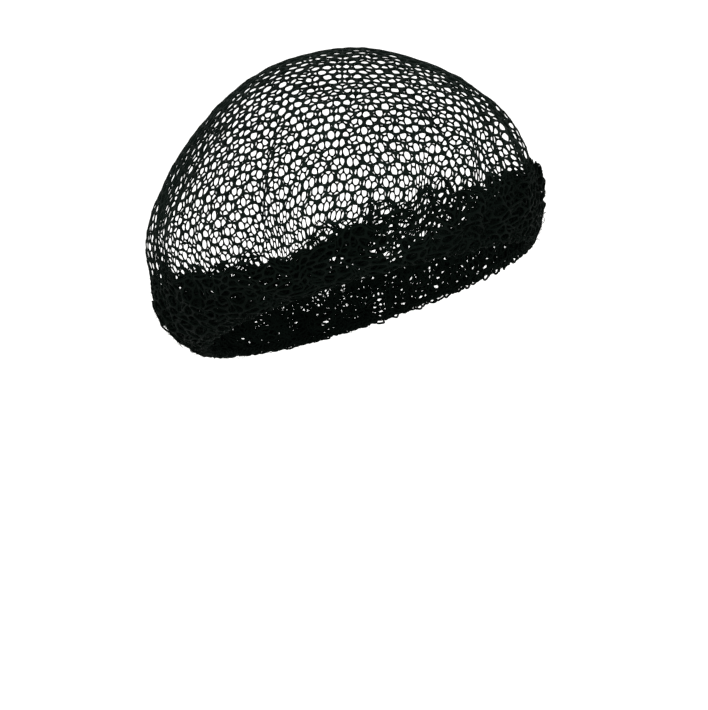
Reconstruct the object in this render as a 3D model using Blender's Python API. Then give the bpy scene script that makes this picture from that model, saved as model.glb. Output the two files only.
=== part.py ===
"""A hairnet in the shape that it takes when it is worn: a coarse knitted net drawn over the crown of the head,
the border where its slack is gathered up, and the elastic edge that grips the head below the hairline.

Metres. The wearer faces -Y, +Z is up, and the origin is the middle of the elastic edge.
"""

import math
from collections import namedtuple

import bmesh
import bpy
from mathutils import Matrix, Vector

# The elastic edge: how far its middle line runs from the origin, and how it slants down to the nape
ELASTIC_FRONT = 0.086
ELASTIC_BACK = 0.089
ELASTIC_SIDE = 0.076
ELASTIC_FRONT_RISE = 0.070
ELASTIC_BACK_DROP = 0.072
ELASTIC_THICKNESS = 0.0040
ELASTIC_WAIST = 0.0030
ELASTIC_STITCHES = 66
ELASTIC_SIDES = 6

# The net at its fullest, and its crown, where the middle of the fabric sits on the head
NET_FRONT = 0.093
NET_BACK = 0.126
NET_SIDE = 0.0905
NET_LEAN = 0.009
CROWN_RISE = 0.120
CROWN_SETBACK = 0.032
NET_THICKNESS = 0.0016

# The meshes of the net, drawn coarse: each gap here stands for about fifteen of the real ones. A mesh that
# the border cuts to less than SMALLEST_OPEN_MESH of its size stays closed.
MESH_PITCH = 0.0300
STRAND_WIDTH = 0.0098
SMALLEST_OPEN_MESH = 0.55
NET_TURN = math.radians(-25.0)
NET_EDGE_POINTS = 72

# The border, where the slack net is gathered in pleats and lies in several layers. It stands tallest in
# front, a little to the wearer's left, and BORDER_SWELL is how much taller it is there than on average.
BORDER_HEIGHT = 0.032
BORDER_SWELL = 0.20
BORDER_TALLEST = math.radians(20.0)
BORDER_THICKNESS = 0.0030
BORDER_ROWS = 5
PLEATS = 44
PLEAT_DEPTH = 0.0017
PLEAT_PEAK = 0.35
POINTS_IN_A_PLEAT = 4
PLEAT_SHIFT = math.radians(1.6)
PLEAT_SHIFT_WAVES = 7

# How deep the deepest crease draws the net in
FOLD_DEPTH = 0.0045

# Between two pieces that touch on the real net
CLEARANCE = 0.0003

# Level loops of the net, from the elastic to the crown. hold is how far the elastic still draws a loop in.
# front, back and side are its reach from the crown's axis, as shares of the net at its fullest, front_up,
# back_up and side_up its height as shares of the way from the elastic to the crown, and lean its share of
# the lean to the wearer's right.
Section = namedtuple("Section", "name hold front back side front_up back_up side_up lean")
SECTIONS = (
    Section("elastic", 1.00, 1.00, 1.00, 1.00, 0.00, 0.00, 0.00, 0.00),
    Section("tuck", 0.60, 0.99, 0.96, 1.00, 0.06, 0.00, 0.03, 0.33),
    Section("puff", 0.25, 0.99, 1.00, 1.02, 0.25, 0.05, 0.12, 0.55),
    Section("fullest", 0.00, 1.00, 1.00, 1.00, 0.47, 0.18, 0.29, 0.78),
    Section("shoulder", 0.00, 0.97, 0.95, 0.98, 0.76, 0.39, 0.45, 1.00),
    Section("upper", 0.00, 0.83, 0.83, 0.84, 0.98, 0.59, 0.68, 0.67),
    Section("top", 0.00, 0.59, 0.63, 0.60, 1.09, 0.78, 0.86, 0.44),
    Section("near_crown", 0.00, 0.30, 0.33, 0.32, 1.06, 0.92, 0.97, 0.44),
    Section("crown", 0.00, 0.00, 0.00, 0.00, 1.00, 1.00, 1.00, 0.11),
)
SAMPLES_PER_SECTION = 8

# Creases of the worn net. azimuth is measured round from the front towards the wearer's left, width is the
# crease's half width and drift how far it wanders round on its way up, all in degrees. depth is a share of
# FOLD_DEPTH, and low and high are where it starts and ends, as shares of the way from elastic to crown.
Fold = namedtuple("Fold", "name azimuth width drift depth low high")
FOLDS = (
    Fold("right_temple", -47.0, 9.0, -11.0, 1.00, 0.10, 0.68),
    Fold("left_temple", 6.0, 9.0, 7.0, 0.70, 0.16, 0.62),
    Fold("right_side", -92.0, 11.0, 5.0, 0.80, 0.08, 0.50),
    Fold("back_right", -130.0, 13.0, 6.0, 1.00, 0.08, 0.45),
    Fold("back", 176.0, 12.0, -6.0, 0.90, 0.06, 0.42),
    Fold("back_left", 126.0, 13.0, -6.0, 1.00, 0.08, 0.45),
    Fold("left_side", 82.0, 11.0, 6.0, 0.85, 0.10, 0.50),
)

NET_COLOUR = (0.012, 0.014, 0.015, 1.0)
BORDER_COLOUR = (0.009, 0.011, 0.012, 1.0)
ELASTIC_COLOUR = (0.010, 0.011, 0.013, 1.0)
YARN_ROUGHNESS = 0.75
ELASTIC_ROUGHNESS = 0.60


def part_way(low, high, share):
    return low + (high - low) * share


def loop_point(row, azimuth):
    """The point of one level loop at an azimuth: 0 is the front, a quarter turn the wearer's left."""
    def reach(elastic, fullest, share):
        return row.hold * elastic + (1.0 - row.hold) * share * fullest

    front = reach(ELASTIC_FRONT + CROWN_SETBACK, NET_FRONT + CROWN_SETBACK, row.front)
    back = reach(ELASTIC_BACK - CROWN_SETBACK, NET_BACK - CROWN_SETBACK, row.back)
    side = reach(ELASTIC_SIDE, NET_SIDE, row.side)
    front_z = part_way(ELASTIC_FRONT_RISE, CROWN_RISE, row.front_up)
    back_z = part_way(-ELASTIC_BACK_DROP, CROWN_RISE, row.back_up)
    side_z = part_way(0.0, CROWN_RISE, row.side_up)
    forward = math.cos(azimuth)
    slant = (front_z - back_z) / 2
    saddle = (front_z + back_z) / 2 - side_z
    return Vector((
        side * math.sin(azimuth) - row.lean * NET_LEAN,
        CROWN_SETBACK + (back - front) / 2 - (front + back) / 2 * forward,
        side_z + slant * forward + saddle * forward * forward,
    ))


def profile_point(azimuth, place):
    """A point on the smooth way up from the elastic, at place 0, over one section after the other."""
    last = len(SECTIONS) - 1
    index = min(int(place), last - 1)
    share = place - index
    start = loop_point(SECTIONS[index], azimuth)
    end = loop_point(SECTIONS[index + 1], azimuth)
    before = loop_point(SECTIONS[index - 1], azimuth) if index > 0 else 2 * start - end
    if index + 2 <= last:
        after = loop_point(SECTIONS[index + 2], azimuth)
    else:
        after = loop_point(SECTIONS[last - 1], azimuth + math.pi)
    leaving = (end - before) / 2
    arriving = (after - start) / 2
    square, cube = share ** 2, share ** 3
    return (
        (2 * cube - 3 * square + 1) * start
        + (cube - 2 * square + share) * leaving
        + (3 * square - 2 * cube) * end
        + (cube - square) * arriving
    )


def way_up(azimuth):
    """The places on the way from elastic to crown, each with its distance along the net from the elastic."""
    way = [(0.0, 0.0)]
    last = profile_point(azimuth, 0.0)
    for step in range(1, (len(SECTIONS) - 1) * SAMPLES_PER_SECTION + 1):
        point = profile_point(azimuth, step / SAMPLES_PER_SECTION)
        way.append((step / SAMPLES_PER_SECTION, way[-1][1] + (point - last).length))
        last = point
    return way


def place_at(way, distance):
    """The place on a way that lies a distance along the net from the elastic."""
    for (low_place, low), (high_place, high) in zip(way, way[1:]):
        if distance <= high:
            return part_way(low_place, high_place, (distance - low) / (high - low))
    return way[-1][0]


def crease_depth(azimuth, height):
    """How far the creases draw the net in, at a height that is a share of the way from elastic to crown."""
    depth = 0.0
    for fold in FOLDS:
        along = (height - fold.low) / (fold.high - fold.low)
        if 0.0 < along < 1.0:
            crease = math.radians(fold.azimuth + fold.drift * along)
            aside = math.remainder(azimuth - crease, math.tau) / math.radians(fold.width)
            depth += fold.depth * FOLD_DEPTH * math.exp(-aside ** 2) * math.sin(math.pi * along)
    return depth


def net_frame(azimuth, distance):
    """A point of the worn net, a distance along it from the elastic, with the ways outwards and upwards."""
    way = way_up(azimuth)
    place = place_at(way, distance)
    step = 0.5 / SAMPLES_PER_SECTION
    level = min(place, len(SECTIONS) - 1.0 - step)
    around = profile_point(azimuth + step, level) - profile_point(azimuth - step, level)
    upward = profile_point(azimuth, level + step) - profile_point(azimuth, max(level - step, 0.0))
    outward = around.cross(upward).normalized()
    point = profile_point(azimuth, place) - outward * crease_depth(azimuth, distance / way[-1][1])
    return point, outward, upward.normalized()


def net_length(azimuth):
    """How far it is along the net from the elastic to the crown."""
    return way_up(azimuth)[-1][1]


def border_height(azimuth):
    """How far the border reaches up along the net from the elastic."""
    return BORDER_HEIGHT * (1.0 + BORDER_SWELL * math.cos(azimuth - BORDER_TALLEST))


def material(name, colour, roughness):
    made = bpy.data.materials.new(name)
    made.use_nodes = True
    shader = made.node_tree.nodes["Principled BSDF"]
    shader.inputs["Base Color"].default_value = colour
    shader.inputs["Roughness"].default_value = roughness
    shader.inputs["Metallic"].default_value = 0.0
    return made


def placed(name, bm, finish):
    """A named object in the scene with this mesh and finish."""
    mesh = bpy.data.meshes.new(name)
    bm.to_mesh(mesh)
    bm.free()
    mesh.shade_smooth()
    mesh.materials.append(finish)
    obj = bpy.data.objects.new(name, mesh)
    bpy.context.scene.collection.objects.link(obj)
    return obj


def ring_mesh(columns, rows, point_at):
    """A closed ring round the head, of quads between the points that point_at gives for column and row."""
    bm = bmesh.new()
    grid = [[bm.verts.new(point_at(column, row)) for row in range(rows)] for column in range(columns)]
    for column in range(columns):
        here, beside = grid[column], grid[(column + 1) % columns]
        for row in range(rows):
            above = (row + 1) % rows
            bm.faces.new((here[row], beside[row], beside[above], here[above]))
    return bm


# The net laid flat: its middle is the crown, and a direction from there is an azimuth on the head
def flat_azimuth(spot):
    return math.atan2(spot.x, -spot.y)


def flat_reach(azimuth):
    """How far the flat net runs from its middle to where the border starts."""
    return net_length(azimuth) - border_height(azimuth) - 2 * CLEARANCE


def mesh_middles():
    """The middles of the net's hexagons on the flat net, in staggered rows that lie as on the head."""
    row_pitch = MESH_PITCH * math.sqrt(3.0) / 2
    edge = [flat_reach(math.tau * step / NET_EDGE_POINTS) for step in range(NET_EDGE_POINTS)]
    rows = math.ceil(max(edge) / row_pitch) + 1
    turn = Matrix.Rotation(NET_TURN, 3, "Z")
    for row in range(-rows, rows + 1):
        for column in range(-rows, rows + 1):
            spot = turn @ Vector(((column + 0.5 * (row % 2)) * MESH_PITCH, row * row_pitch, 0.0))
            if spot.length < flat_reach(flat_azimuth(spot)) + MESH_PITCH:
                yield spot


def trim_to_border(bm):
    """Cuts the flat hexagons off along the border's upper edge."""
    for vert in bm.verts:
        vert.co /= flat_reach(flat_azimuth(vert.co))
    for step in range(NET_EDGE_POINTS):
        azimuth = math.tau * step / NET_EDGE_POINTS
        direction = Vector((math.sin(azimuth), -math.cos(azimuth), 0.0))
        bmesh.ops.bisect_plane(
            bm,
            geom=bm.verts[:] + bm.edges[:] + bm.faces[:],
            plane_co=direction * math.cos(math.pi / NET_EDGE_POINTS),
            plane_no=direction,
            clear_outer=True,
        )
    for vert in bm.verts:
        if vert.is_boundary:
            vert.co.normalize()
        vert.co *= flat_reach(flat_azimuth(vert.co))


def build_net_crown():
    """The net: one layer with a hexagonal gap for each mesh, laid over the head from the crown down."""
    bm = bmesh.new()
    for spot in mesh_middles():
        bmesh.ops.create_circle(
            bm,
            cap_ends=True,
            segments=6,
            radius=MESH_PITCH / math.sqrt(3.0),
            matrix=Matrix.Translation(spot) @ Matrix.Rotation(NET_TURN, 4, "Z"),
        )
    bmesh.ops.remove_doubles(bm, verts=bm.verts[:], dist=STRAND_WIDTH / 10)
    bmesh.ops.recalc_face_normals(bm, faces=bm.faces[:])
    trim_to_border(bm)
    whole = MESH_PITCH ** 2 * math.sqrt(3.0) / 2
    meshes = [face for face in bm.faces if face.calc_area() > SMALLEST_OPEN_MESH * whole]
    bmesh.ops.inset_individual(bm, faces=meshes, thickness=STRAND_WIDTH / 2, use_even_offset=True)
    bmesh.ops.delete(bm, geom=meshes, context="FACES")
    for vert in bm.verts:
        azimuth = flat_azimuth(vert.co)
        vert.co = net_frame(azimuth, net_length(azimuth) - vert.co.length)[0]
    net = placed("net_crown", bm, material("knitted_net", NET_COLOUR, YARN_ROUGHNESS))
    wall = net.modifiers.new("wall", "SOLIDIFY")
    wall.thickness = NET_THICKNESS
    wall.offset = 0.0


def build_gathered_border():
    """The border: slack net drawn up in pleats, fullest low down and gone where the plain net starts."""
    low_edge = ELASTIC_THICKNESS / 2 + CLEARANCE

    def point_at(column, row):
        inner = row >= BORDER_ROWS
        level = 2 * BORDER_ROWS - 1 - row if inner else row
        up = level / (BORDER_ROWS - 1)
        turn = math.tau * column / (PLEATS * POINTS_IN_A_PLEAT)
        azimuth = turn + PLEAT_SHIFT * math.sin(PLEAT_SHIFT_WAVES * turn)
        point, outward, _ = net_frame(azimuth, part_way(low_edge, border_height(azimuth), up))
        fullness = 1.0 - ((up - PLEAT_PEAK) / (1.0 - PLEAT_PEAK)) ** 2
        pleat = PLEAT_DEPTH * fullness * math.sin(PLEATS * turn)
        half_wall = -BORDER_THICKNESS / 2 if inner else BORDER_THICKNESS / 2
        return point + outward * (pleat + half_wall)

    bm = ring_mesh(PLEATS * POINTS_IN_A_PLEAT, 2 * BORDER_ROWS, point_at)
    placed("gathered_border", bm, material("gathered_net", BORDER_COLOUR, YARN_ROUGHNESS))


def build_elastic_edge():
    """The elastic edge: a covered elastic cord, drawn in at each of the stitches that hold it to the net."""
    columns = ELASTIC_STITCHES * 2

    def point_at(column, row):
        middle, outward, upward = net_frame(math.tau * column / columns, 0.0)
        thickness = ELASTIC_WAIST if column % 2 else ELASTIC_THICKNESS
        turn = math.tau * row / ELASTIC_SIDES
        return middle + (outward * math.cos(turn) + upward * math.sin(turn)) * thickness / 2

    bm = ring_mesh(columns, ELASTIC_SIDES, point_at)
    placed("elastic_edge", bm, material("covered_elastic", ELASTIC_COLOUR, ELASTIC_ROUGHNESS))


for old in list(bpy.data.objects):
    bpy.data.objects.remove(old)

build_net_crown()
build_gathered_border()
build_elastic_edge()
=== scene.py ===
"""A knitted hairnet in its worn form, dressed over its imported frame: the fine hexagonal net over the crown,
the gathered border in its loose layers, and the elastic edge. Metres, the front faces -Y, +Z is up."""

import math
from collections import namedtuple

import bmesh
import bpy
import numpy as np
from mathutils import Euler, Matrix, Vector, noise


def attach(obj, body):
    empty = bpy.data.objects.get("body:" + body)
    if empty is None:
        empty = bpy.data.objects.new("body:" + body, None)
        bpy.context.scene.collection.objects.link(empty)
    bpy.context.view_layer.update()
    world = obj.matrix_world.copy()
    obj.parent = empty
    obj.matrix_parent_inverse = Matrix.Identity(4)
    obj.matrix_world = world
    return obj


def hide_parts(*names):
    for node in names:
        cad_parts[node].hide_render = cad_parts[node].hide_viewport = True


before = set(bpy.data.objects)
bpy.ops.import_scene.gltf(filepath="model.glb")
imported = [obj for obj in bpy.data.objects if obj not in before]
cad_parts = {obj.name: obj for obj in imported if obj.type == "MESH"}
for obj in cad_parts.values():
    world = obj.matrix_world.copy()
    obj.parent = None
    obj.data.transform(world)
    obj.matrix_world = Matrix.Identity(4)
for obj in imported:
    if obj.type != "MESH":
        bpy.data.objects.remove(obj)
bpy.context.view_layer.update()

# The net itself
# One layer of black polyester yarn, warp knitted in hexagonal meshes. The cut round of net is stretched
# over the crown of the head, lies smooth there and narrows its meshes where it turns down at the sides.
ELASTIC_FRONT = 0.086
ELASTIC_BACK = 0.089
ELASTIC_SIDE = 0.076
ELASTIC_FRONT_RISE = 0.070
ELASTIC_BACK_DROP = 0.072
NET_FRONT = 0.093
NET_BACK = 0.126
NET_SIDE = 0.0905
NET_LEAN = 0.009
CROWN_RISE = 0.120
CROWN_SETBACK = 0.032

# Level loops of the worn net, as shares of the sizes above: how far the elastic holds a loop in, its reach
# to the front, back and side, its height in front, at the back and at the side, and its lean to the right.
Section = namedtuple("Section", "name hold front back side front_up back_up side_up lean")
SECTIONS = (
    Section("elastic", 1.00, 1.00, 1.00, 1.00, 0.00, 0.00, 0.00, 0.00),
    Section("tuck", 0.60, 0.99, 0.96, 1.00, 0.06, 0.00, 0.03, 0.33),
    Section("puff", 0.25, 0.99, 1.00, 1.02, 0.25, 0.05, 0.12, 0.55),
    Section("fullest", 0.00, 1.00, 1.00, 1.00, 0.47, 0.18, 0.29, 0.78),
    Section("shoulder", 0.00, 0.97, 0.95, 0.98, 0.76, 0.39, 0.45, 1.00),
    Section("upper", 0.00, 0.83, 0.83, 0.84, 0.98, 0.59, 0.68, 0.67),
    Section("top", 0.00, 0.59, 0.63, 0.60, 1.09, 0.78, 0.86, 0.44),
    Section("near_crown", 0.00, 0.30, 0.33, 0.32, 1.06, 0.92, 0.97, 0.44),
    Section("crown", 0.00, 0.00, 0.00, 0.00, 1.00, 1.00, 1.00, 0.11),
)

# Creases: where round the net, their half width and their drift on the way up in degrees, how deep they
# are as a share of CREASE_DEPTH, how far they pull the meshes together, and where they start and end.
CREASE_DEPTH = 0.0050
Crease = namedtuple("Crease", "name azimuth width drift depth pull low high")
CREASES = (
    Crease("right_temple", -47.0, 4.0, -11.0, 1.00, 0.85, 0.10, 0.68),
    Crease("right_temple_side", -37.0, 4.0, -4.0, 0.45, 0.45, 0.16, 0.46),
    Crease("left_temple", 6.0, 3.5, 7.0, 0.80, 0.85, 0.16, 0.62),
    Crease("left_brow", 22.0, 5.0, 2.0, 0.60, 0.60, 0.12, 0.46),
    Crease("right_cheek", -74.0, 5.0, 3.0, 0.50, 0.50, 0.08, 0.40),
    Crease("right_side", -92.0, 5.5, 5.0, 0.80, 0.75, 0.08, 0.66),
    Crease("right_side_back", -108.0, 5.5, 8.0, 0.70, 0.75, 0.07, 0.62),
    Crease("back_right", -130.0, 7.0, 6.0, 1.00, 0.65, 0.06, 0.48),
    Crease("back", 176.0, 7.0, -6.0, 0.90, 0.55, 0.06, 0.42),
    Crease("back_middle", 154.0, 6.0, 4.0, 0.60, 0.45, 0.06, 0.34),
    Crease("back_left", 126.0, 7.0, -6.0, 1.00, 0.65, 0.06, 0.48),
    Crease("left_side_back", 100.0, 6.0, -4.0, 0.70, 0.70, 0.07, 0.58),
    Crease("left_side", 80.0, 5.5, 5.0, 0.85, 0.75, 0.08, 0.66),
    Crease("left_side_front", 63.0, 5.0, 4.0, 0.70, 0.75, 0.08, 0.62),
    Crease("left_cheek", 45.0, 5.0, 4.0, 0.60, 0.60, 0.08, 0.50),
)

AZIMUTH_STEPS = 720
HEIGHT_STEPS = 401
STEPS_BETWEEN_LOOPS = 24


def loop_points(row, azimuth):
    """The points of one level loop at azimuths measured round from the front to the left side."""
    def reach(elastic, fullest, share):
        return row.hold * elastic + (1.0 - row.hold) * share * fullest

    front = reach(ELASTIC_FRONT + CROWN_SETBACK, NET_FRONT + CROWN_SETBACK, row.front)
    back = reach(ELASTIC_BACK - CROWN_SETBACK, NET_BACK - CROWN_SETBACK, row.back)
    side = reach(ELASTIC_SIDE, NET_SIDE, row.side)
    front_z = ELASTIC_FRONT_RISE + (CROWN_RISE - ELASTIC_FRONT_RISE) * row.front_up
    back_z = -ELASTIC_BACK_DROP + (CROWN_RISE + ELASTIC_BACK_DROP) * row.back_up
    side_z = CROWN_RISE * row.side_up
    forward = np.cos(azimuth)
    slant = (front_z - back_z) / 2
    saddle = (front_z + back_z) / 2 - side_z
    return np.stack([
        side * np.sin(azimuth) - row.lean * NET_LEAN,
        CROWN_SETBACK + (back - front) / 2 - (front + back) / 2 * forward,
        side_z + slant * forward + saddle * forward ** 2,
    ], axis=-1)


def worn_surface():
    """Points and outward directions of the worn net on a grid of azimuth and share of the way up, and its
    length from elastic to crown at each azimuth."""
    azimuth = np.arange(AZIMUTH_STEPS) * math.tau / AZIMUTH_STEPS
    last = len(SECTIONS) - 1
    loops = [loop_points(row, azimuth) for row in SECTIONS]
    loops.insert(0, 2 * loops[0] - loops[1])
    loops.append(loop_points(SECTIONS[last - 1], azimuth + math.pi))
    rows = []
    share = np.linspace(0.0, 1.0, STEPS_BETWEEN_LOOPS, endpoint=False)[:, None, None]
    for index in range(last):
        before, start, end, after = loops[index:index + 4]
        leaving, arriving = (end - before) / 2, (after - start) / 2
        rows.append(
            (2 * share ** 3 - 3 * share ** 2 + 1) * start
            + (share ** 3 - 2 * share ** 2 + share) * leaving
            + (3 * share ** 2 - 2 * share ** 3) * end
            + (share ** 3 - share ** 2) * arriving
        )
    ways = np.concatenate(rows + [loops[last + 1][None]])
    gone = np.zeros(ways.shape[:2])
    gone[1:] = np.cumsum(np.linalg.norm(np.diff(ways, axis=0), axis=2), axis=0)
    points = np.empty((AZIMUTH_STEPS, HEIGHT_STEPS, 3))
    even = np.linspace(0.0, 1.0, HEIGHT_STEPS)
    for number in range(AZIMUTH_STEPS):
        for axis in range(3):
            points[number, :, axis] = np.interp(
                even * gone[-1, number], gone[:, number], ways[:, number, axis]
            )
    around = np.roll(points, -1, axis=0) - np.roll(points, 1, axis=0)
    outward = np.cross(around, np.gradient(points, axis=1))
    outward[:, -3:] = outward[:, -4:-3].mean(axis=0)
    outward /= np.linalg.norm(outward, axis=2, keepdims=True)
    return points, outward, gone[-1][:, None]


surface_points, surface_outward, net_lengths = worn_surface()


def read_off(table, azimuth, share):
    """Values of a table at azimuths and shares of the way up, smoothly between its entries."""
    column = np.mod(azimuth / math.tau, 1.0) * AZIMUTH_STEPS
    row = np.clip(share, 0.0, 1.0) * (table.shape[1] - 1)
    low_column = np.floor(column).astype(int) % AZIMUTH_STEPS
    low_row = np.minimum(np.floor(row).astype(int), max(table.shape[1] - 2, 0))
    across = (column - np.floor(column))[..., None]
    up = (row - low_row)[..., None]
    high_column = (low_column + 1) % AZIMUTH_STEPS
    high_row = np.minimum(low_row + 1, table.shape[1] - 1)
    table = table.reshape(AZIMUTH_STEPS, table.shape[1], -1)
    low = table[low_column, low_row] * (1 - across) + table[high_column, low_row] * across
    high = table[low_column, high_row] * (1 - across) + table[high_column, high_row] * across
    return low * (1 - up) + high * up


def net_length(azimuth):
    return read_off(net_lengths, azimuth, np.zeros_like(azimuth))[..., 0]


def on_net(azimuth, share, lift=0.0):
    """Points of the worn net, drawn in by its creases and lifted outwards."""
    depth = np.zeros_like(azimuth)
    pulled = np.array(azimuth)
    for crease in CREASES:
        along = (share - crease.low) / (crease.high - crease.low)
        swell = np.where((along > 0) & (along < 1), np.sin(np.pi * np.clip(along, 0, 1)), 0.0)
        middle = np.radians(crease.azimuth + crease.drift * along)
        width = math.radians(crease.width)
        aside = (np.mod(azimuth - middle + np.pi, math.tau) - np.pi) / width
        depth += crease.depth * CREASE_DEPTH * np.exp(-aside ** 2) * swell
        pulled -= crease.pull * width * np.tanh(aside) * np.exp(-(aside / 4) ** 2) * swell
    point = read_off(surface_points, pulled, share)
    return point + read_off(surface_outward, pulled, share) * (lift - depth)[..., None]


# The cut net is laid on from a spot tipped forward of the crown, where it lies smoothest. A heading from
# there and a distance along the net give each flat spot its place. The place is found by search, from a
# first guess that takes the edge to be EDGE_TILT over from the crown, in radians.
HOLLOW_MIDDLE = np.array([-0.001, CROWN_SETBACK, 0.020])
TURN_TO_RIGHT = math.radians(25.0)
TIPPED_FORWARD = math.radians(16.0)
HEADINGS = 360
TILTS = 220
FLAT_REACH = 0.300
FURTHEST_TILT = math.radians(158.0)
EDGE_TILT = 2.2
SEARCH_ROUNDS = 24
SEARCH_STEP = 0.8
NEAR_CROWN = 0.05
BELOW_EDGE = -0.2
along_rows = np.array([math.cos(TURN_TO_RIGHT), -math.sin(TURN_TO_RIGHT), 0.0])
to_viewer = np.array([-math.sin(TURN_TO_RIGHT), -math.cos(TURN_TO_RIGHT), 0.0])
smoothest = math.sin(TIPPED_FORWARD) * to_viewer + math.cos(TIPPED_FORWARD) * np.array([0, 0, 1.0])
across_rows = np.cross(smoothest, along_rows)


def met_by(heading, tilt):
    """Azimuth and share of the way up where a line from the hollow's middle meets the net. The line leans
    over by tilt from the smoothest spot, towards heading."""
    tilt, heading = tilt[..., None], heading[..., None]
    level = np.cos(heading) * along_rows + np.sin(heading) * across_rows
    aim = np.cos(tilt) * smoothest + np.sin(tilt) * level
    wanted_azimuth = np.arctan2(aim[..., 0], -aim[..., 1])
    wanted_lean = np.arctan2(np.hypot(aim[..., 0], aim[..., 1]), aim[..., 2])
    azimuth = wanted_azimuth.copy()
    share = np.clip(1.0 - wanted_lean / EDGE_TILT, 0.0, 1.0)
    for _ in range(SEARCH_ROUNDS):
        reached = read_off(surface_points, azimuth, share) - HOLLOW_MIDDLE
        reached_azimuth = np.arctan2(reached[..., 0], -reached[..., 1])
        reached_lean = np.arctan2(np.hypot(reached[..., 0], reached[..., 1]), reached[..., 2])
        off = np.mod(wanted_azimuth - reached_azimuth + np.pi, math.tau) - np.pi
        azimuth = azimuth + SEARCH_STEP * off * np.minimum(1.0, reached_lean / NEAR_CROWN)
        size = np.linalg.norm(reached, axis=-1) / net_length(azimuth)
        share = np.clip(share - SEARCH_STEP * (wanted_lean - reached_lean) * size, BELOW_EDGE, 1.0)
    return azimuth, share


def tilt_table():
    """For each heading, the tilts that lie at even distances along the net, up to FLAT_REACH."""
    heading, tilt = np.meshgrid(
        np.arange(HEADINGS) * math.tau / HEADINGS, np.linspace(0.0, FURTHEST_TILT, TILTS), indexing="ij"
    )
    azimuth, share = met_by(heading, tilt)
    points = read_off(surface_points, azimuth, share)
    gone = np.zeros((HEADINGS, TILTS))
    gone[:, 1:] = np.cumsum(np.linalg.norm(np.diff(points, axis=1), axis=2), axis=1)
    even = np.linspace(0.0, FLAT_REACH, TILTS)
    return np.array([np.interp(even, row, tilt[0]) for row in gone])


tilts = tilt_table()


def laid_on(flat):
    """Azimuth and share of the way up for spots of the flat net."""
    far = np.linalg.norm(flat, axis=1)
    heading = np.arctan2(flat[:, 1], flat[:, 0])
    column = np.mod(heading / math.tau, 1.0) * HEADINGS
    low = np.floor(column).astype(int) % HEADINGS
    across = column - np.floor(column)
    row = np.clip(far / FLAT_REACH, 0.0, 1.0) * (TILTS - 1)
    near = np.minimum(row.astype(int), TILTS - 2)
    out = row - near

    def at(number):
        return tilts[number, near] * (1 - out) + tilts[number, near + 1] * out

    return met_by(heading, at(low) * (1 - across) + at((low + 1) % HEADINGS) * across)


FIELD_STARTS = (Vector((9.3, -1.5, -8.1)), Vector((-7.2, 4.9, 3.6)), Vector((2.7, 8.8, -5.4)))


def jittered(points, size, grain, seed):
    """Points shifted by up to about size in a smooth random field with this grain. It is read off once for
    each axis, because noise.noise_vector gives other values in each run."""
    shift = Vector((seed * 17.3, seed * 5.1, seed * 11.7))
    moved = []
    for point in points:
        spot = Vector(point) / grain + shift
        moved.append([noise.noise(spot + start) for start in FIELD_STARTS])
    return points + np.array(moved) * size


def hexagons(bm, middles, pitch):
    """Adds a hexagon of net at each middle, and joins them along their sides."""
    for x, y in middles:
        bmesh.ops.create_circle(
            bm,
            cap_ends=True,
            segments=6,
            radius=pitch / math.sqrt(3.0),
            matrix=Matrix.Translation((x, y, 0.0)),
        )
    bmesh.ops.remove_doubles(bm, verts=bm.verts[:], dist=pitch / 20)


def open_meshes(bm, yarn):
    """Leaves only the yarn round each hexagon."""
    meshes = bm.faces[:]
    bmesh.ops.inset_individual(bm, faces=meshes, thickness=yarn / 2, use_even_offset=False)
    bmesh.ops.delete(bm, geom=meshes, context="FACES")


def knitted_piece(name, bm, finish, thickness, rounds):
    """A named piece of net with its yarn made solid and rounded."""
    bmesh.ops.recalc_face_normals(bm, faces=bm.faces[:])
    mesh = bpy.data.meshes.new(name)
    bm.to_mesh(mesh)
    bm.free()
    mesh.shade_smooth()
    mesh.materials.append(finish)
    obj = bpy.data.objects.new(name, mesh)
    bpy.context.scene.collection.objects.link(obj)
    wall = obj.modifiers.new("yarn", "SOLIDIFY")
    wall.thickness = thickness
    wall.offset = 0.0
    if rounds:
        soft = obj.modifiers.new("rounded", "SUBSURF")
        soft.levels = rounds
        soft.render_levels = rounds
    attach(obj, "root")
    return obj


def linear(code):
    """A linear colour from an sRGB hex value."""
    parts = [int(code[start:start + 2], 16) / 255 for start in (1, 3, 5)]
    return [part / 12.92 if part <= 0.04045 else ((part + 0.055) / 1.055) ** 2.4 for part in parts] + [1.0]


def add_node(tree, kind, settings=None, **links):
    """Adds a node with its settings, and links or sets its inputs by name, with _ for a space."""
    node = tree.nodes.new(kind)
    for key, value in (settings or {}).items():
        setattr(node, key, value)
    for key, value in links.items():
        socket = node.inputs[key.replace("_", " ")]
        if isinstance(value, bpy.types.NodeSocket):
            tree.links.new(value, socket)
        else:
            socket.default_value = value
    return node


PATCH_MM = 22.0
PATCH_SHARE = 0.5
FIBRE_RELIEF = 0.0002
HIGHLIGHTS = 0.02


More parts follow.
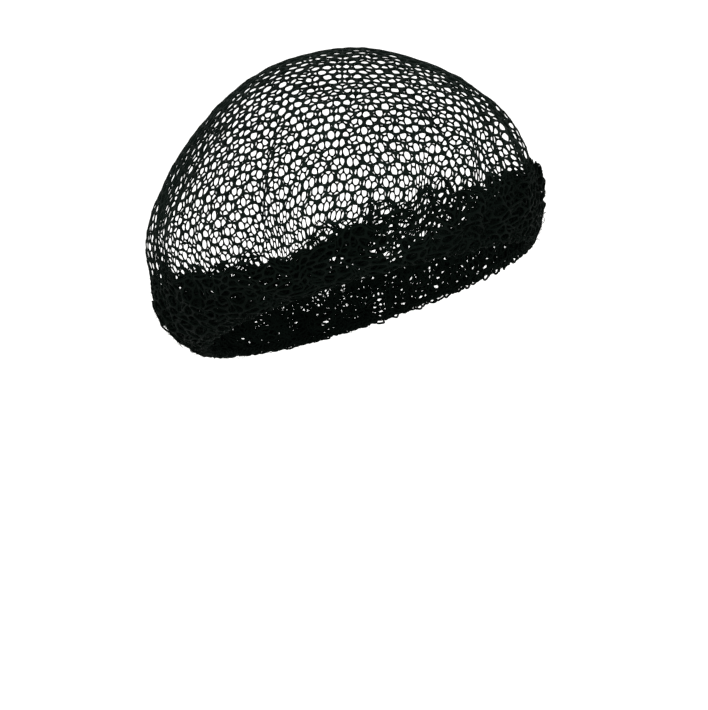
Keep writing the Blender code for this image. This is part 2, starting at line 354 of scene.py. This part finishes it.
def black_yarn(name, dark, light, roughness, fibre_mm):
    """Bulky polyester yarn, dyed black: matt, near black with a green cast, and almost without highlights,
    because the light is caught between its loose fibres. These stand in a fine twisted grain. The real ones
    are finer than a pixel, so they are drawn coarser. Patches PATCH_MM wide are worn a little paler."""
    made = bpy.data.materials.new(name)
    made.use_nodes = True
    tree = made.node_tree
    shader = tree.nodes["Principled BSDF"]
    place = add_node(tree, "ShaderNodeTexCoord").outputs["Object"]
    grain = 1000.0 / fibre_mm
    fibre = add_node(tree, "ShaderNodeTexNoise", Vector=place, Scale=grain, Detail=3.0, Roughness=0.6)
    patch = add_node(tree, "ShaderNodeTexNoise", Vector=place, Scale=1000.0 / PATCH_MM, Detail=2.0)
    both = add_node(tree, "ShaderNodeMath", {"operation": "MULTIPLY_ADD"})
    tree.links.new(patch.outputs["Fac"], both.inputs[0])
    both.inputs[1].default_value = PATCH_SHARE
    tree.links.new(fibre.outputs["Fac"], both.inputs[2])
    ramp = add_node(tree, "ShaderNodeValToRGB", Fac=both.outputs[0])
    ramp.color_ramp.elements[0].position = 0.50
    ramp.color_ramp.elements[0].color = linear(dark)
    ramp.color_ramp.elements[1].position = 1.00
    ramp.color_ramp.elements[1].color = linear(light)
    bump = add_node(tree, "ShaderNodeBump", Height=fibre.outputs["Fac"], Strength=0.5, Distance=FIBRE_RELIEF)
    tree.links.new(ramp.outputs["Color"], shader.inputs["Base Color"])
    tree.links.new(bump.outputs["Normal"], shader.inputs["Normal"])
    shader.inputs["Roughness"].default_value = roughness
    shader.inputs["Specular IOR Level"].default_value = HIGHLIGHTS
    return made


# Meshes are this far apart in the worn net, and SLACK_PITCH apart when the net lies slack. NET_LOW_EDGE is
# how far up from the lowest line the single layer starts, which is well inside the border.
MESH_PITCH = 0.0069
YARN = 0.00078
YARN_DEPTH = 0.00085
NET_LOW_EDGE = 0.019
MESH_IRREGULARITY = 0.0007
IRREGULARITY_GRAIN = 0.006
IRREGULARITY_SEED = 1
YARN_ROUNDS = 1

net_yarn = black_yarn("knitted_polyester_yarn", "#020504", "#131c18", 0.75, 0.35)

row_pitch = MESH_PITCH * math.sqrt(3.0) / 2
reach = int(FLAT_REACH / row_pitch)
lattice = np.array([
    ((column + 0.5 * (row % 2)) * MESH_PITCH, row * row_pitch)
    for row in range(-reach, reach + 1)
    for column in range(-reach, reach + 1)
])
lattice = lattice[np.linalg.norm(lattice, axis=1) < FLAT_REACH]
azimuth, share = laid_on(lattice)
lattice = lattice[share * net_length(azimuth) > NET_LOW_EDGE]

# The net has more faces than one piece may, so it is parted along some of its rows. Distances are metres
# behind the spot where the net lies smoothest. Each part is cut from the slack net between its two
# distances, and the area of its yarn, without the holes, is summed.
Part = namedtuple("Part", "name low high")
PARTS = (
    Part("net_front", -1.0, -0.026),
    Part("net_top", -0.026, 0.047),
    Part("net_back", 0.047, 0.122),
    Part("net_nape", 0.122, 1.0),
)
for part in PARTS:
    bm = bmesh.new()
    hexagons(bm, lattice[(lattice[:, 1] >= part.low) & (lattice[:, 1] < part.high)], MESH_PITCH)
    flat = np.array([vert.co[:2] for vert in bm.verts])
    azimuth, share = laid_on(flat)
    worn = jittered(on_net(azimuth, share), MESH_IRREGULARITY, IRREGULARITY_GRAIN, IRREGULARITY_SEED)
    for vert, place in zip(bm.verts, worn):
        vert.co = place
    open_meshes(bm, YARN)
    yarn_area = sum(face.calc_area() for face in bm.faces)
    piece = knitted_piece(part.name, bm, net_yarn, YARN_DEPTH, YARN_ROUNDS)
    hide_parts("net_crown")

# The gathered border
# The same net, about half as long again as the elastic that gathers it. So it folds back on itself, crumples
# and lies in loose layers, sewn into the elastic edge, and hardly any light comes through.
#
# Columns: how far a layer lies out from the net's own surface, where it starts above the elastic, its height
# as a share of BORDER_TOPS, its meshes round and up, its folds, how far a fold doubles back and stands out,
# the width of its yarn, its seed, and whether it is rounded, rolled over along its top, and pulled aside
# where the border is thin.
Layer = namedtuple(
    "Layer", "name lift low high meshes_round rows folds doubled fold_depth yarn seed rounds rolled thin"
)
LAYERS = (
    Layer("outer_gather", 0.0015, -0.0012, 0.97, 148, 9, 31, 1.25, 0.0016, 0.00082, 3, 1, True, False),
    Layer("middle_gather", 0.0002, -0.0006, 1.10, 180, 11, 43, 1.30, 0.0015, 0.00105, 5, 0, False, False),
    Layer("inner_gather", -0.0012, 0.0006, 0.94, 174, 10, 37, 1.20, 0.0014, 0.00115, 7, 0, False, True),
    Layer("lining_gather", -0.0024, 0.0010, 0.88, 168, 9, 33, 1.10, 0.0010, 0.00115, 9, 0, False, True),
)
GATHERED_YARN_DEPTH = 0.0010

# The roll along the top of the outer layer, from this share of its height on
ROLL_FROM = 0.84
ROLL_RISE = 0.0020
ROLL_TUCK = 1.5

# The folds sway and wander along the border, in so many bumps round the net, and lie tighter at its top
FOLD_SWAY = 1.3
FOLD_SWAYS = 5
FOLD_WANDER = 0.9
FOLD_BUMPS = 60
TIGHT_AT_TOP = 0.35

# Where the inner layers are pulled aside, so that light comes through, in degrees round the net
THIN_FROM = -22.0
THIN_TO = 19.0
THIN_RAGGED = 8.0
THIN_GRAIN = 0.007

# How high the border reaches along the net, in metres, at azimuths in degrees round the net
BORDER_TOPS = (
    (-180, 0.033), (-130, 0.037), (-100, 0.044), (-78, 0.038), (-58, 0.030), (-44, 0.026), (-27, 0.034),
    (-8, 0.036), (12, 0.035), (26, 0.037), (45, 0.041), (62, 0.045), (90, 0.044), (130, 0.036), (180, 0.033),
)
TOP_RAGGED = 0.0035
TOP_BUMPS = 70
TOP_SEED = 20

# How far the yarn is pushed about, in two grains, and the share of that which the layer's flatness takes off
CRUMPLE = 0.0042
CRUMPLE_GRAIN = 0.010
FINE_CRUMPLE = 0.0022
FINE_CRUMPLE_GRAIN = 0.0034
STAYS_FLAT = 0.34

# A layer swells and is crumpled most in the middle of its height. Both follow an arch, of which the layer
# takes this share, from this far along it.
SWELL_ARCH = 0.9
SWELL_FROM = 0.05
CRUMPLE_ARCH = 0.82
CRUMPLE_FROM = 0.13
JOINED_WITHIN = 0.00005

# The border's yarn is a darker copy of the net's yarn. The extra darkness is painted shade, standing in for
# the shade that falls between its crumpled layers.
border_yarn_painted_shade = black_yarn("gathered_yarn_painted_shade", "#010402", "#0b120f", 0.8, 0.35)


def ragged(azimuth, waves, seed):
    """A smooth random value for each azimuth, about -1 to 1, with this many bumps round the net."""
    size = waves / math.tau
    return np.array([
        2.0 * noise.noise(Vector((size * math.sin(turn), size * math.cos(turn), seed * 3.7)))
        for turn in azimuth
    ])


def in_degrees(azimuth):
    return (np.degrees(azimuth) + 180) % 360 - 180


# How far the middle of the elastic edge lies above the lowest line of the net. It rides up on the left of
# the front: EDGE_SWELL is how much more it rises there, at EDGE_HIGHEST degrees round.
EDGE_RISE = 0.0030
EDGE_SWELL = 0.9
EDGE_HIGHEST = 55.0
EDGE_SPREAD = 50.0


def edge_rise(azimuth):
    aside = (in_degrees(azimuth) - EDGE_HIGHEST) / EDGE_SPREAD
    return EDGE_RISE * (1.0 + EDGE_SWELL * np.exp(-aside ** 2))


def gathered_points(layer, turn, up):
    """The places of one layer's points: turn is how far round the cut net, up the share of its height."""
    wander = FOLD_WANDER * ragged(turn, FOLD_BUMPS, layer.seed)
    fold = layer.folds * turn + FOLD_SWAY * np.sin(FOLD_SWAYS * turn) + wander
    loosened = TIGHT_AT_TOP + (1.0 - TIGHT_AT_TOP) * (1.0 - up) ** 0.7
    azimuth = turn + layer.doubled / layer.folds * np.sin(fold) * loosened
    tops = np.interp(in_degrees(azimuth), *zip(*BORDER_TOPS)) * layer.high
    tops = tops + TOP_RAGGED * ragged(azimuth, TOP_BUMPS, layer.seed + TOP_SEED)
    roll_from = ROLL_FROM if layer.rolled else 1.0
    climb = np.minimum(up, 2 * roll_from - up) / roll_from
    stand = ROLL_RISE * np.clip((up - 0.5) / (roll_from - 0.5), 0, 1) ** 2
    turned_in = np.clip((up - roll_from) / max(1.0 - roll_from, 0.01), 0, 1)
    swell = np.sin(np.pi * np.clip(up * SWELL_ARCH + SWELL_FROM, 0, 1))
    lift = layer.lift * swell + layer.fold_depth * np.cos(fold) * loosened
    if layer.rolled:
        lift = lift * (1 - turned_in) + stand * (1 - ROLL_TUCK * turned_in)
    low = layer.low + edge_rise(azimuth)
    share = (low + (tops - low) * climb) / net_length(azimuth)
    placed = on_net(azimuth, share, lift)
    loose = np.sin(np.pi * np.clip(up * CRUMPLE_ARCH + CRUMPLE_FROM, 0, 1))[:, None] ** 0.6
    shift = jittered(placed, CRUMPLE, CRUMPLE_GRAIN, layer.seed) - placed
    shift += jittered(placed, FINE_CRUMPLE, FINE_CRUMPLE_GRAIN, layer.seed + 1) - placed
    outward = read_off(surface_outward, azimuth, share)
    standing = (shift * outward).sum(axis=1, keepdims=True)
    return placed + (shift - STAYS_FLAT * standing * outward) * loose


# Rows are row_step of a mesh apart, and a mesh reaches up and down from its middle by half_mesh
row_step = math.sqrt(3.0) / 2
half_mesh = 0.58
for layer in LAYERS:
    bm = bmesh.new()
    hexagons(bm, [
        (column + 0.5 * (row % 2), row * row_step)
        for row in range(layer.rows)
        for column in range(layer.meshes_round)
    ], 1.0)
    flat = np.array([vert.co[:2] for vert in bm.verts])
    turn = flat[:, 0] / layer.meshes_round * math.tau
    up = np.clip((flat[:, 1] + half_mesh) / ((layer.rows - 1) * row_step + 2 * half_mesh), 0.0, 1.0)
    for vert, place in zip(bm.verts, gathered_points(layer, turn, up)):
        vert.co = place
    bmesh.ops.remove_doubles(bm, verts=bm.verts[:], dist=JOINED_WITHIN)
    if layer.thin:
        aside = []
        for face in bm.faces:
            middle = face.calc_center_median()
            heading = math.degrees(math.atan2(middle.x, -middle.y))
            stray = THIN_RAGGED * noise.noise(middle / THIN_GRAIN)
            if THIN_FROM < heading + stray < THIN_TO:
                aside.append(face)
        bmesh.ops.delete(bm, geom=aside, context="FACES")
    open_meshes(bm, layer.yarn)
    yarn_area = sum(face.calc_area() for face in bm.faces)
    piece = knitted_piece(layer.name, bm, border_yarn_painted_shade, GATHERED_YARN_DEPTH, layer.rounds)
    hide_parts("gathered_border")

# The loose fibres of the border
# The yarn is bulky and catches on everything, so fine fibres and small snags are drawn out of the crumpled
# border and stand from it in low arcs. Only the thicker ones are here.
FIBRES = 900
FIBRE = 0.00017
FIBRE_REACH = 0.0065
FIBRE_LOWEST = 0.0016
FIBRE_HIGHEST = 0.0042
FIBRE_CURL = 1.6
FIBRE_STEPS = 8
FIBRE_SEED = 11
FIBRE_RESOLUTION = 0


def thread_curve(name, thickness, resolution, paths, cyclic, finish):
    """A curve object of round threads, one along each path."""
    curve = bpy.data.curves.new(name, "CURVE")
    curve.dimensions = "3D"
    curve.bevel_depth = thickness / 2
    curve.bevel_resolution = resolution
    for path in paths:
        spline = curve.splines.new("POLY")
        spline.points.add(len(path) - 1)
        spline.points.foreach_set("co", np.hstack([path, np.ones((len(path), 1))]).ravel())
        spline.use_cyclic_u = cyclic
    curve.materials.append(finish)
    threads = bpy.data.objects.new(name, curve)
    bpy.context.scene.collection.objects.link(threads)
    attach(threads, "root")
    return threads


draw = np.random.default_rng(FIBRE_SEED)
along = np.linspace(0.0, 1.0, FIBRE_STEPS)[None, :]
foot = draw.uniform(0.0, math.tau, (FIBRES, 1))
up = draw.uniform(0.02, 0.95, (FIBRES, 1))
heading = draw.uniform(0.0, math.tau, (FIBRES, 1))
heading = heading + draw.uniform(-FIBRE_CURL, FIBRE_CURL, (FIBRES, 1)) * along
length = FIBRE_REACH * draw.uniform(0.5, 1.4, (FIBRES, 1))
peak = draw.uniform(FIBRE_LOWEST, FIBRE_HIGHEST, (FIBRES, 1))
azimuth = foot + length * along * np.cos(heading) / NET_SIDE
tops = np.interp(in_degrees(azimuth), *zip(*BORDER_TOPS))
climb = np.maximum(tops * up + length * along * np.sin(heading), edge_rise(azimuth))
share = climb / net_length(azimuth)
curls = on_net(azimuth, share, peak * np.sin(np.pi * along) ** 0.8)
fibres = thread_curve("loose_fibres", FIBRE, FIBRE_RESOLUTION, curls, False, border_yarn_painted_shade)
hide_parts("gathered_border")

# The elastic edge
# A thin round elastic, covered in black yarn that is wound round it, and crocheted to the last row of the
# net with small even loops. The loops stand out below it as little scallops.
THREADS = 3
THREAD_TWISTS = 61
THREAD = 0.0012
THREAD_SPREAD = 0.0009
SCALLOPS = 120
SCALLOP_DROP = 0.0026
OUTER_BELOW = 0.0006
OUTER_OUT = 0.0008
OUTER_SWAY = 0.0006
INNER_BELOW = 0.0002
INNER_DROP = 0.6
INNER_SWAY = 0.0005
SCALLOP_WANDER = 0.0008
SCALLOP_WANDER_GRAIN = 0.004
UNEVEN = 0.6
UNEVEN_BUMPS = 150
UNEVEN_SEED = 40
STEPS_ROUND = 960
THREAD_WANDER = 0.0009
THREAD_WANDER_GRAIN = 0.006
THREAD_SEED = 30
THREAD_RESOLUTION = 1

# A loop of thin yarn has come loose from the edge in front, just left of the middle
LOOSE_LOOP_AT = math.radians(3.0)
LOOSE_LOOP_WIDTH = math.radians(3.4)
LOOSE_LOOP_DROP = 0.0042
LOOSE_LOOP_CLOSES = 0.16
LOOSE_LOOP_OUT = 0.0008
LOOSE_LOOP_STANDS = 0.0014
LOOSE_LOOP_THREAD = 0.0005
LOOSE_LOOP_STEPS = 25

elastic_yarn = black_yarn("covered_elastic_thread", "#010402", "#0b120f", 0.75, 0.3)


def below_edge(azimuth, drop, out):
    """Points beside the middle of the elastic edge, this far below it and out from it."""
    share = edge_rise(azimuth) / net_length(azimuth)
    edge = on_net(azimuth, share)
    upward = read_off(surface_points, azimuth, share + 0.01) - edge
    upward /= np.linalg.norm(upward, axis=1, keepdims=True)
    outward = read_off(surface_outward, azimuth, share)
    return edge - upward * drop[:, None] + outward * out[:, None]


turn = np.arange(STEPS_ROUND) * math.tau / STEPS_ROUND
paths = []
for thread in range(THREADS):
    phase = THREAD_TWISTS * turn + thread * math.tau / THREADS
    wound = below_edge(turn, -THREAD_SPREAD * np.sin(phase), THREAD_SPREAD * np.cos(phase))
    paths.append(jittered(wound, THREAD_WANDER, THREAD_WANDER_GRAIN, THREAD_SEED + thread))

# Two rows of scallops cross each other: a full one outside, and a lower one inside, half a scallop on
uneven = 1.0 + UNEVEN * ragged(turn, UNEVEN_BUMPS, UNEVEN_SEED)
sway = np.cos(SCALLOPS * turn)
outer = np.abs(np.sin(SCALLOPS / 2 * turn)) ** 0.8 * uneven
inner = np.abs(np.cos(SCALLOPS / 2 * turn)) * (2.0 - uneven)
crossing = (
    below_edge(turn, OUTER_BELOW + SCALLOP_DROP * outer, OUTER_OUT + OUTER_SWAY * sway),
    below_edge(turn, INNER_BELOW + INNER_DROP * SCALLOP_DROP * inner, -INNER_SWAY * sway),
)
for number, row in enumerate(crossing):
    paths.append(jittered(row, SCALLOP_WANDER, SCALLOP_WANDER_GRAIN, THREAD_SEED + THREADS + number))
threads = thread_curve("elastic_threads", THREAD, THREAD_RESOLUTION, paths, True, elastic_yarn)
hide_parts("elastic_edge")

along = np.linspace(0.0, 1.0, LOOSE_LOOP_STEPS)
dangling = below_edge(
    LOOSE_LOOP_AT + LOOSE_LOOP_WIDTH * (along - 0.5 + LOOSE_LOOP_CLOSES * np.sin(math.tau * along)),
    LOOSE_LOOP_DROP * np.sin(np.pi * along) ** 0.7,
    LOOSE_LOOP_OUT + LOOSE_LOOP_STANDS * np.sin(np.pi * along),
)
loop = thread_curve("loose_loop", LOOSE_LOOP_THREAD, THREAD_RESOLUTION, [dangling], False, elastic_yarn)
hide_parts("elastic_edge")

# The floor and the light
# A plain pale studio: a sheet of matt white paper well below the net, lit by three large soft lights and
# by an even white surround.
FLOOR_DROP = 0.30
FLOOR_REACH = 20.0
SURROUND = 1.1
floor_mesh = bpy.data.meshes.new("floor")
bm = bmesh.new()
low = Matrix.Translation((0, 0, -FLOOR_DROP))
bmesh.ops.create_grid(bm, x_segments=1, y_segments=1, size=FLOOR_REACH, matrix=low)
bm.to_mesh(floor_mesh)
bm.free()
paper = bpy.data.materials.new("matt_paper")
paper.use_nodes = True
shader = paper.node_tree.nodes["Principled BSDF"]
shader.inputs["Base Color"].default_value = linear("#f4f4f2")
shader.inputs["Roughness"].default_value = 0.9
floor_mesh.materials.append(paper)
floor = bpy.data.objects.new("floor", floor_mesh)
bpy.context.scene.collection.objects.link(floor)

world = bpy.data.worlds.new("studio")
world.use_nodes = True
background = world.node_tree.nodes["Background"]
background.inputs["Color"].default_value = linear("#ffffff")
background.inputs["Strength"].default_value = SURROUND
bpy.context.scene.world = world
bpy.context.scene.view_settings.view_transform = "Standard"
Light = namedtuple("Light", "name place size power")
for light in (
    Light("key", (-0.9, -0.9, 1.3), 0.9, 12.0),
    Light("fill", (1.1, -0.7, 0.8), 1.2, 5.0),
    Light("rim", (0.3, 1.2, 1.1), 0.9, 6.0),
):
    lamp = bpy.data.lights.new(light.name, "AREA")
    lamp.size = light.size
    lamp.energy = light.power
    holder = bpy.data.objects.new(light.name, lamp)
    holder.location = light.place
    holder.rotation_euler = (-Vector(light.place)).to_track_quat("-Z", "Y").to_euler()
    bpy.context.scene.collection.objects.link(holder)

# The camera stands where the photograph's did, at the right front and above
CAMERA_PLACE = (-0.3936, -0.8440, 0.5269)
CAMERA_PAN = math.radians(-24.654)
CAMERA_TILT = math.radians(-30.861)
LENS_MM = 111.04
SENSOR_MM = 36.0
camera_data = bpy.data.cameras.new("camera")
camera_data.lens = LENS_MM
camera_data.sensor_width = SENSOR_MM
camera = bpy.data.objects.new("camera", camera_data)
camera.location = CAMERA_PLACE
camera.rotation_euler = Euler((math.radians(90.0) + CAMERA_TILT, 0.0, CAMERA_PAN), "XYZ")
bpy.context.scene.collection.objects.link(camera)
bpy.context.scene.camera = camera
